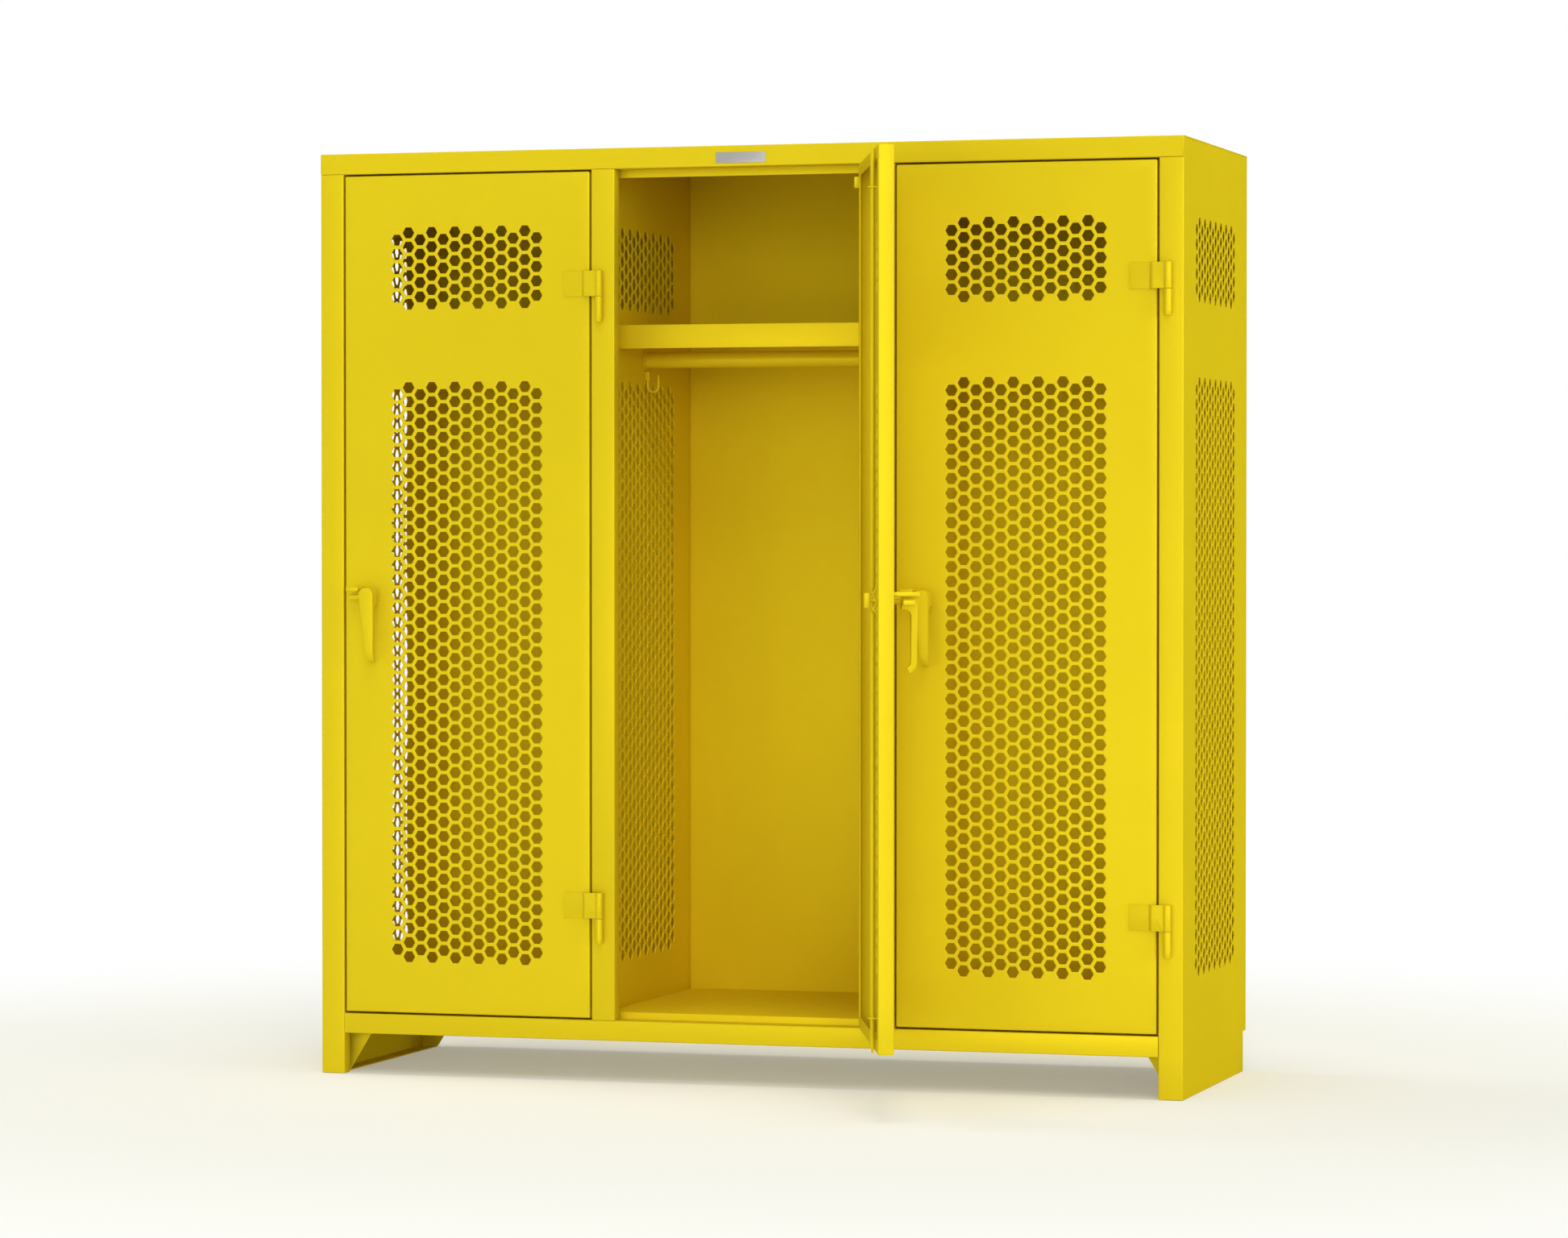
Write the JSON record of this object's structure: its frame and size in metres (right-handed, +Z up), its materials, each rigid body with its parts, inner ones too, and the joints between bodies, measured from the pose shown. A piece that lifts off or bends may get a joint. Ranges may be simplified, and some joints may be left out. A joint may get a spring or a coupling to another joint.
{
  "type": "ventilated single-tier locker",
  "caption": "Freestanding sheet-metal wardrobe locker with perforated inset doors and sides, hat shelves, coat rods, lift-off hinges and lever latches that take a padlock.",
  "frame": {"origin": "middle of the bounding box at floor level, with the middle door open as at rest", "axes": "+Z up, +X to the right as seen from the front, +Y from the doors to the back"},
  "size_m": [1.899, 1.2068, 1.9812],
  "materials": {
    "body": "glossy yellow powder coat",
    "door": "glossy yellow powder coat",
    "inside": "glossy yellow powder coat",
    "hardware": "glossy yellow powder coat"
  },
  "bodies": {
    "locker_frame": {"left_side_panel": "body", "right_side_panel": "body", "left_divider": "inside", "right_divider": "inside", "left_divider_post": "body", "right_divider_post": "body", "top_panel": "body", "bottom_rail": "body", "floor_pan": "inside", "back_panel": "inside", "header_stop": "body", "front_left_gusset": "body", "front_right_gusset": "body", "rear_left_gusset": "body", "rear_right_gusset": "body", "left_shelf": "inside", "left_coat_rod": "inside", "left_coat_hook": "hardware", "left_lower_hinge_pin": "hardware", "left_upper_hinge_pin": "hardware", "middle_shelf": "inside", "middle_coat_rod": "inside", "middle_coat_hook": "hardware", "middle_lower_hinge_pin": "hardware", "middle_upper_hinge_pin": "hardware", "right_shelf": "inside", "right_coat_rod": "inside", "right_coat_hook": "hardware", "right_lower_hinge_pin": "hardware", "right_upper_hinge_pin": "hardware"},
    "left_door_body": {"left_door": "door", "left_lower_hinge_leaf": "hardware", "left_upper_hinge_leaf": "hardware", "left_hasp_plate": "hardware", "left_lower_rod_guide": "hardware", "left_upper_rod_guide": "hardware"},
    "left_handle_body": {"left_handle": "hardware", "left_latch_cam": "hardware"},
    "left_upper_rod_body": {"left_upper_lock_rod": "hardware"},
    "left_lower_rod_body": {"left_lower_lock_rod": "hardware"},
    "middle_door_body": {"middle_door": "door", "middle_lower_hinge_leaf": "hardware", "middle_upper_hinge_leaf": "hardware", "middle_hasp_plate": "hardware", "middle_lower_rod_guide": "hardware", "middle_upper_rod_guide": "hardware"},
    "middle_handle_body": {"middle_handle": "hardware", "middle_latch_cam": "hardware"},
    "middle_upper_rod_body": {"middle_upper_lock_rod": "hardware"},
    "middle_lower_rod_body": {"middle_lower_lock_rod": "hardware"},
    "right_door_body": {"right_door": "door", "right_lower_hinge_leaf": "hardware", "right_upper_hinge_leaf": "hardware", "right_hasp_plate": "hardware", "right_lower_rod_guide": "hardware", "right_upper_rod_guide": "hardware"},
    "right_handle_body": {"right_handle": "hardware", "right_latch_cam": "hardware"},
    "right_upper_rod_body": {"right_upper_lock_rod": "hardware"},
    "right_lower_rod_body": {"right_lower_lock_rod": "hardware"}
  },
  "joints": [
    {"name": "left_door_hinge", "type": "hinge", "parent": "locker_frame", "child": "left_door_body", "pos_m": [-0.31265, -0.04302, 0.348], "axis": [0, 0, 1], "range_deg": [0, 145]},
    {"name": "left_handle_turn", "type": "hinge", "parent": "left_door_body", "child": "left_handle_body", "pos_m": [-0.82795, -0.03162, 1.0328], "axis": [0, -1, 0], "range_deg": [0, 90]},
    {"name": "left_upper_rod_slide", "type": "slide", "parent": "left_door_body", "child": "left_upper_rod_body", "axis": [0, 0, -1], "range_m": [0, 0.019]},
    {"name": "left_lower_rod_slide", "type": "slide", "parent": "left_door_body", "child": "left_lower_rod_body", "axis": [0, 0, 1], "range_m": [0, 0.019]},
    {"name": "middle_door_hinge", "type": "hinge", "parent": "locker_frame", "child": "middle_door_body", "pos_m": [0.30305, -0.04302, 0.348], "axis": [0, 0, 1], "range_deg": [-110, 35]},
    {"name": "middle_handle_turn", "type": "hinge", "parent": "middle_door_body", "child": "middle_handle_body", "pos_m": [0.46858, -0.53114, 1.0328], "axis": [0.9397, 0.342, 0], "range_deg": [0, 90]},
    {"name": "middle_upper_rod_slide", "type": "slide", "parent": "middle_door_body", "child": "middle_upper_rod_body", "axis": [0, 0, -1], "range_m": [0, 0.019]},
    {"name": "middle_lower_rod_slide", "type": "slide", "parent": "middle_door_body", "child": "middle_lower_rod_body", "axis": [0, 0, 1], "range_m": [0, 0.019]},
    {"name": "right_door_hinge", "type": "hinge", "parent": "locker_frame", "child": "right_door_body", "pos_m": [0.91875, -0.04302, 0.348], "axis": [0, 0, 1], "range_deg": [0, 145]},
    {"name": "right_handle_turn", "type": "hinge", "parent": "right_door_body", "child": "right_handle_body", "pos_m": [0.40345, -0.03162, 1.0328], "axis": [0, -1, 0], "range_deg": [0, 90]},
    {"name": "right_upper_rod_slide", "type": "slide", "parent": "right_door_body", "child": "right_upper_rod_body", "axis": [0, 0, -1], "range_m": [0, 0.019]},
    {"name": "right_lower_rod_slide", "type": "slide", "parent": "right_door_body", "child": "right_lower_rod_body", "axis": [0, 0, 1], "range_m": [0, 0.019]}
  ],
  "couplings": [
    {"joint": "left_upper_rod_slide", "follows": "left_handle_turn", "m_per_rad": 0.01209},
    {"joint": "left_lower_rod_slide", "follows": "left_handle_turn", "m_per_rad": 0.01209},
    {"joint": "middle_upper_rod_slide", "follows": "middle_handle_turn", "m_per_rad": 0.01209},
    {"joint": "middle_lower_rod_slide", "follows": "middle_handle_turn", "m_per_rad": 0.01209},
    {"joint": "right_upper_rod_slide", "follows": "right_handle_turn", "m_per_rad": 0.01209},
    {"joint": "right_lower_rod_slide", "follows": "right_handle_turn", "m_per_rad": 0.01209}
  ]
}
